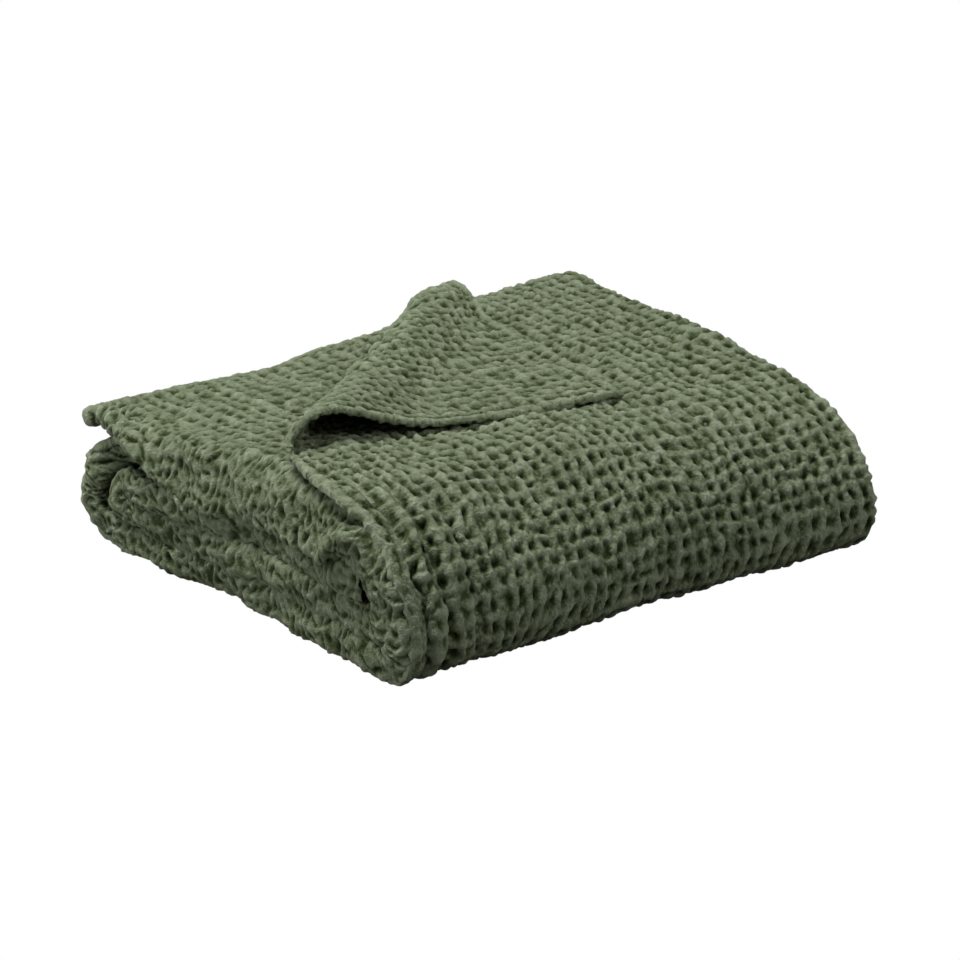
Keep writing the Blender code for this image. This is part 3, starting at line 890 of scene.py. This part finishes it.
def corner_piece(name, size):
    """The turned corner on a lattice along its two hems; the part past the roll's line is left out."""
    place = corner_places(size)
    across, share = np.meshgrid(place * END_HEM, place[::-1], indexing="xy")
    side_wave = pucker(share * SIDE_HEM) * np.exp(-across / PUCKER_REACH)
    end_wave = pucker(across) * np.exp(-(1.0 - share) * SIDE_HEM / PUCKER_REACH)
    x, y, rise = turned_point(across + side_wave, share - end_wave / SIDE_HEM)
    # the end hem curls up a little
    rise = rise + 0.0022 * np.exp(-(1.0 - share) * SIDE_HEM / 0.010) * ease(across, 0.02, 0.10)
    sy, sz = on_strip(along_of(y), STEP + rise)
    grid = settled(np.stack([x, sy, sz], axis=2))
    normal = normals(grid)
    hem = np.minimum(across, (1.0 - share) * SIDE_HEM)
    past = across / END_HEM - share
    round_edge = np.sqrt(np.clip(1.0 - (1.0 - np.clip(hem / HALF, 0.0, 1.0)) ** 2, 0.0, 1.0))
    layers, masks = [], []
    inside = int(np.argmin(np.abs(place * END_HEM - HEM_WIDTH)))
    v = (1.0 - share) * SIDE_HEM
    # each face: its side, how many cells of the lattice it runs on past the roll's line, and its start on the tile
    for side, reach, start in ((1.0, 2.5, 0.31), (-1.0, 1.5, 0.77)):
        height = hem_relief(weave(across + start, v + 0.5 * start, 1.0), hem, 0.7, 0.0006)
        low = np.where(past > 0, 0.0006, 0.0)  # there it lies under the top's own face
        out = (HALF + height - low) * round_edge + lumps(grid) * side
        points = grid + normal * side * out[:, :, None]
        layers.append((points, normals(points) * side, side > 0, np.stack([across, v], axis=2), height))
        keep_seam(points[inside:, inside][past[inside:, inside] < 0])
        keep_seam(points[inside, inside:][past[inside, inside:] < 0])
        masks.append(past[1:, 1:] <= reach * size / END_HEM)
    return add_piece(name, layers, masks)


def dress(item):
    """Material of a stretch of the cloth, and what the frame is told of it; its cloth places are read but not used.
    """
    places = np.zeros(2 * len(item.data.loops), np.float32)
    item.data.uv_layers["cloth"].data.foreach_get("uv", places)
    item.data.materials.append(COTTON)
    stand_for_throw(item)


# Materials, light and camera

WHITE = (1.0, 1.0, 1.0, 1.0)


def linear(text):
    """A colour such as 7c8870 as the shader wants it."""
    values = [int(text[k : k + 2], 16) / 255.0 for k in (0, 2, 4)]
    return tuple((v / 12.92 if v <= 0.04045 else ((v + 0.055) / 1.055) ** 2.4) for v in values) + (1.0,)


def node(tree, kind, settings=None, **links):
    """A node with its settings, and with sockets set or linked: by name, with _ for a space, or i2 for number 2."""
    item = tree.nodes.new(kind)
    for key, value in (settings or {}).items():
        setattr(item, key, value)
    for key, value in links.items():
        numbered = key[0] == "i" and key[1:].isdigit()
        socket = item.inputs[int(key[1:]) if numbered else key.replace("_", " ")]
        if isinstance(value, bpy.types.NodeSocket):
            tree.links.new(value, socket)
        else:
            socket.default_value = value
    return item


def new_material(name):
    """A material, its node tree and its main shader."""
    material = bpy.data.materials.new(name)
    material.use_nodes = True
    return material, material.node_tree, material.node_tree.nodes["Principled BSDF"]


def set_sockets(shader, **values):
    """Sets a shader's own sockets, with _ for a space."""
    for key, value in values.items():
        shader.inputs[key.replace("_", " ")].default_value = value


def cotton():
    """Stonewashed cotton waffle: matt, with painted shade in the pits, painted light on the puffs, and a fine knotty
    yarn.
    """
    material, tree, shader = new_material("stonewashed_waffle_cotton")
    relief = node(tree, "ShaderNodeAttribute", dict(attribute_name="relief")).outputs["Fac"]
    place = node(tree, "ShaderNodeUVMap", dict(uv_map="cloth")).outputs["UV"]
    # slubs of the yarn, about 3 mm, and its fibres
    flat = dict(noise_dimensions="2D")
    slub = node(tree, "ShaderNodeTexNoise", flat, Vector=place, Scale=330.0, Detail=3.0, Roughness=0.6)
    fibre = node(tree, "ShaderNodeTexNoise", flat, Vector=place, Scale=1300.0, Detail=2.0)
    # how deep a spot lies in the waffle: the colour is darker the deeper it lies, painted shade in the pits and
    # painted light on the puffs
    times_plus = dict(operation="MULTIPLY_ADD")
    uneven = node(tree, "ShaderNodeMath", times_plus, i0=slub.outputs["Fac"], i1=0.0028, i2=-0.0016)
    level = node(tree, "ShaderNodeMath", dict(operation="ADD"), i0=relief, i1=uneven.outputs[0])
    depth = node(tree, "ShaderNodeMapRange", None, Value=level.outputs[0], From_Min=-0.0030, From_Max=0.0014)
    shade = node(tree, "ShaderNodeValToRGB", None, Fac=depth.outputs["Result"])
    ramp = shade.color_ramp
    ramp.elements.new(0.38)
    ramp.elements.new(0.62)
    # the ramp's colours run from the painted shade of the pits up to the painted light of the puffs
    for element, colour in zip(ramp.elements, ("212a10", "475332", "758063", "97a187")):
        element.color = linear(colour)
    # uneven fading over a hand's width
    fade = node(tree, "ShaderNodeTexNoise", flat, Vector=place, Scale=14.0, Detail=4.0)
    fade_range = node(tree, "ShaderNodeMapRange", None, Value=fade.outputs["Fac"], To_Min=0.86, To_Max=1.12)
    # of a colour mix, input 0 is the factor, 6 and 7 the colours, and output 2 the result
    multiply = dict(data_type="RGBA", blend_type="MULTIPLY")
    mixed = node(tree, "ShaderNodeMix", multiply, i0=1.0, i6=shade.outputs["Color"], i7=fade_range.outputs["Result"])
    tree.links.new(mixed.outputs[2], shader.inputs["Base Color"])
    yarn = node(tree, "ShaderNodeMath", times_plus, i0=fibre.outputs["Fac"], i1=0.35, i2=slub.outputs["Fac"])
    bump = node(tree, "ShaderNodeBump", None, Strength=1.0, Distance=0.0028, Height=yarn.outputs[0])
    tree.links.new(bump.outputs["Normal"], shader.inputs["Normal"])
    set_sockets(shader, Roughness=0.95, Specular_IOR_Level=0.15)
    set_sockets(shader, Sheen_Weight=0.15, Sheen_Roughness=0.6, Sheen_Tint=linear("b4bda4"))
    return material


def thread():
    """Twisted cotton sewing thread, dyed with the cloth: a little paler, with a fine twist."""
    material, tree, shader = new_material("twisted_cotton_thread")
    place = node(tree, "ShaderNodeTexCoord").outputs["Object"]
    # the twist, about 1 mm a turn, drawn no finer so that it shows
    twist = node(tree, "ShaderNodeTexNoise", None, Vector=place, Scale=1000.0, Detail=2.0)
    shade = node(tree, "ShaderNodeValToRGB", None, Fac=twist.outputs["Fac"])
    for element, position, colour in zip(shade.color_ramp.elements, (0.35, 0.70), ("66704f", "949e80")):
        element.position, element.color = position, linear(colour)
    tree.links.new(shade.outputs["Color"], shader.inputs["Base Color"])
    bump = node(tree, "ShaderNodeBump", None, Strength=0.6, Distance=0.0004, Height=twist.outputs["Fac"])
    tree.links.new(bump.outputs["Normal"], shader.inputs["Normal"])
    set_sockets(shader, Roughness=0.85, Specular_IOR_Level=0.25)
    return material


def backdrop():
    """White to the eye, and a mid grey to the light that it throws up at the cloth."""
    material, tree, _ = new_material("white_board")
    tree.nodes.clear()
    out = node(tree, "ShaderNodeOutputMaterial")
    seen = node(tree, "ShaderNodeLightPath").outputs["Is Camera Ray"]
    white = node(tree, "ShaderNodeEmission", None, Color=WHITE, Strength=1.0)
    grey = node(tree, "ShaderNodeBsdfDiffuse", None, Color=linear("7c7c7c"))
    mix = node(tree, "ShaderNodeMixShader", None, i0=seen, i1=grey.outputs[0], i2=white.outputs[0])
    tree.links.new(mix.outputs[0], out.inputs["Surface"])
    return material


def floor():
    """A wide board, just under the cloth."""
    data = bpy.data.meshes.new("floor")
    half, level = 4.0, -0.0005
    corners = [(-half, -half, level), (half, -half, level), (half, half, level), (-half, half, level)]
    data.from_pydata(corners, [], [(0, 1, 2, 3)])
    data.materials.append(backdrop())
    item = bpy.data.objects.new("floor", data)
    bpy.context.scene.collection.objects.link(item)


def world():
    """Soft light from all round, white where the camera looks past the floor."""
    item = bpy.data.worlds.new("studio")
    bpy.context.scene.world = item
    item.use_nodes = True
    tree = item.node_tree
    tree.nodes.clear()
    out = node(tree, "ShaderNodeOutputWorld")
    seen = node(tree, "ShaderNodeLightPath").outputs["Is Camera Ray"]
    white = node(tree, "ShaderNodeBackground", None, Color=WHITE, Strength=1.0)
    room = node(tree, "ShaderNodeBackground", None, Color=WHITE, Strength=0.11)
    mix = node(tree, "ShaderNodeMixShader", None, i0=seen, i1=room.outputs[0], i2=white.outputs[0])
    tree.links.new(mix.outputs[0], out.inputs["Surface"])


def area_light(name, place, size, power):
    """A round lamp, aimed at the bundle."""
    aim = Vector((0.0, 0.0, 0.05))
    light = bpy.data.lights.new(name, "AREA")
    light.shape = "DISK"
    light.size = size
    light.energy = power
    item = bpy.data.objects.new(name, light)
    item.location = place
    item.rotation_euler = (aim - Vector(place)).to_track_quat("-Z", "Y").to_euler()
    bpy.context.scene.collection.objects.link(item)


def camera():
    """The photograph's view: a long lens, since the bundle's edges stay all but parallel."""
    turn, rise, distance = math.radians(-37.23), math.radians(24.43), 7.7245
    aim = Vector((0.0015, -0.0107, 0.0432))
    back = Vector((math.sin(turn) * math.cos(rise), -math.cos(turn) * math.cos(rise), math.sin(rise)))
    data = bpy.data.cameras.new("camera")
    data.lens = 400.0
    data.sensor_width = 36.0
    data.clip_start = 0.05
    item = bpy.data.objects.new("camera", data)
    item.location = aim + back * distance
    item.rotation_euler = (-back).to_track_quat("-Z", "Y").to_euler()
    bpy.context.scene.collection.objects.link(item)
    bpy.context.scene.camera = item


def hemmed_rows(hem):
    """Rows from a hem at the back to the start of the roll; each one's signed distance from the hem, and lift."""
    signed, lift = wrap(chain(steps(-0.020, -0.008, 0.003), steps(-0.008, 0.010, 0.0012)))
    rows = ghost(chain(hem + np.abs(signed), steps(hem + signed[-1], CORNER_ALONG, FINE)), False, True)
    signed = np.concatenate([signed, rows[len(signed) :] - hem])
    return rows, (signed, np.concatenate([lift, np.ones(len(rows) - len(lift))]))


def cloth():
    """All stretches of the cloth: fine where they show, coarse on the floor and inside the bundle."""
    columns = outer_columns(FINE)
    underside = 0.5 * (bend_end(1) + bend_end(2))
    inner_turn = 0.5 * (bend_end(3) + bend_end(4))
    past_front = bend_end(1) + 0.01
    near_back = bend_end(2) - 0.01

    rows, hem = hemmed_rows(CORNER_ALONG - BACK_REACH)
    whole = dict(columns, base=np.concatenate([[0.0], columns["base"]]))
    piece = outer_piece("throw_top", rows, None, whole, (0, 2), hem)
    dress(piece)

    rows = chain(steps(CORNER_ALONG, past_front, 0.85 * FINE), steps(past_front, underside, 0.014))
    piece = outer_piece("throw_front", ghost(rows, True, False), HEM_PLACES, outer_columns(0.8 * FINE), (2, 0))
    dress(piece)

    rows = chain(
        steps(underside, near_back, 0.014),
        steps(near_back, bend_end(3), FINE),
        steps(bend_end(3), inner_turn, 0.012),
    )
    dress(outer_piece("throw_wrap", rows, HEM_PLACES, outer_columns(FINE * 1.3), (0, 0)))

    rows = steps(inner_turn, LAST, 0.0045)
    ends_only = dict(columns, base=chain(steps(0, 0.06, 0.006), steps(0.06, 0.94, 0.05), steps(0.94, 1.0, 0.006))[1:])
    dress(outer_piece("throw_inside", rows, HEM_PLACES, ends_only, (0, 0)))

    rows, hem = hemmed_rows(along_of(BACK_Y + UNDER_REACH))
    dress(inner_piece("throw_upper", rows, inner_columns(FINE, 0.18), (0, 2), hem))

    edges = inner_columns(FINE, 0.90)
    half_way = 0.5 * (bend_end(2) + bend_end(3))
    rows = ghost(steps(CORNER_ALONG, half_way, FINE), True, True)
    dress(inner_piece("throw_folds", rows, edges, (2, 2)))
    rows = ghost(steps(half_way, LAST, 1.5 * FINE), True, False)
    dress(inner_piece("throw_core", rows, edges, (2, 0)))

    dress(corner_piece("throw_corner", FINE))


COTTON = cotton()
cloth()
sew(thread())
floor()
world()
area_light("key", (-0.7, 1.0, 2.6), 1.2, 80.0)
area_light("fill", (-2.0, 0.5, 0.45), 1.2, 12.0)
area_light("front", (1.1, -1.8, 1.8), 1.4, 22.5)
camera()
bpy.context.scene.view_settings.view_transform = "Standard"
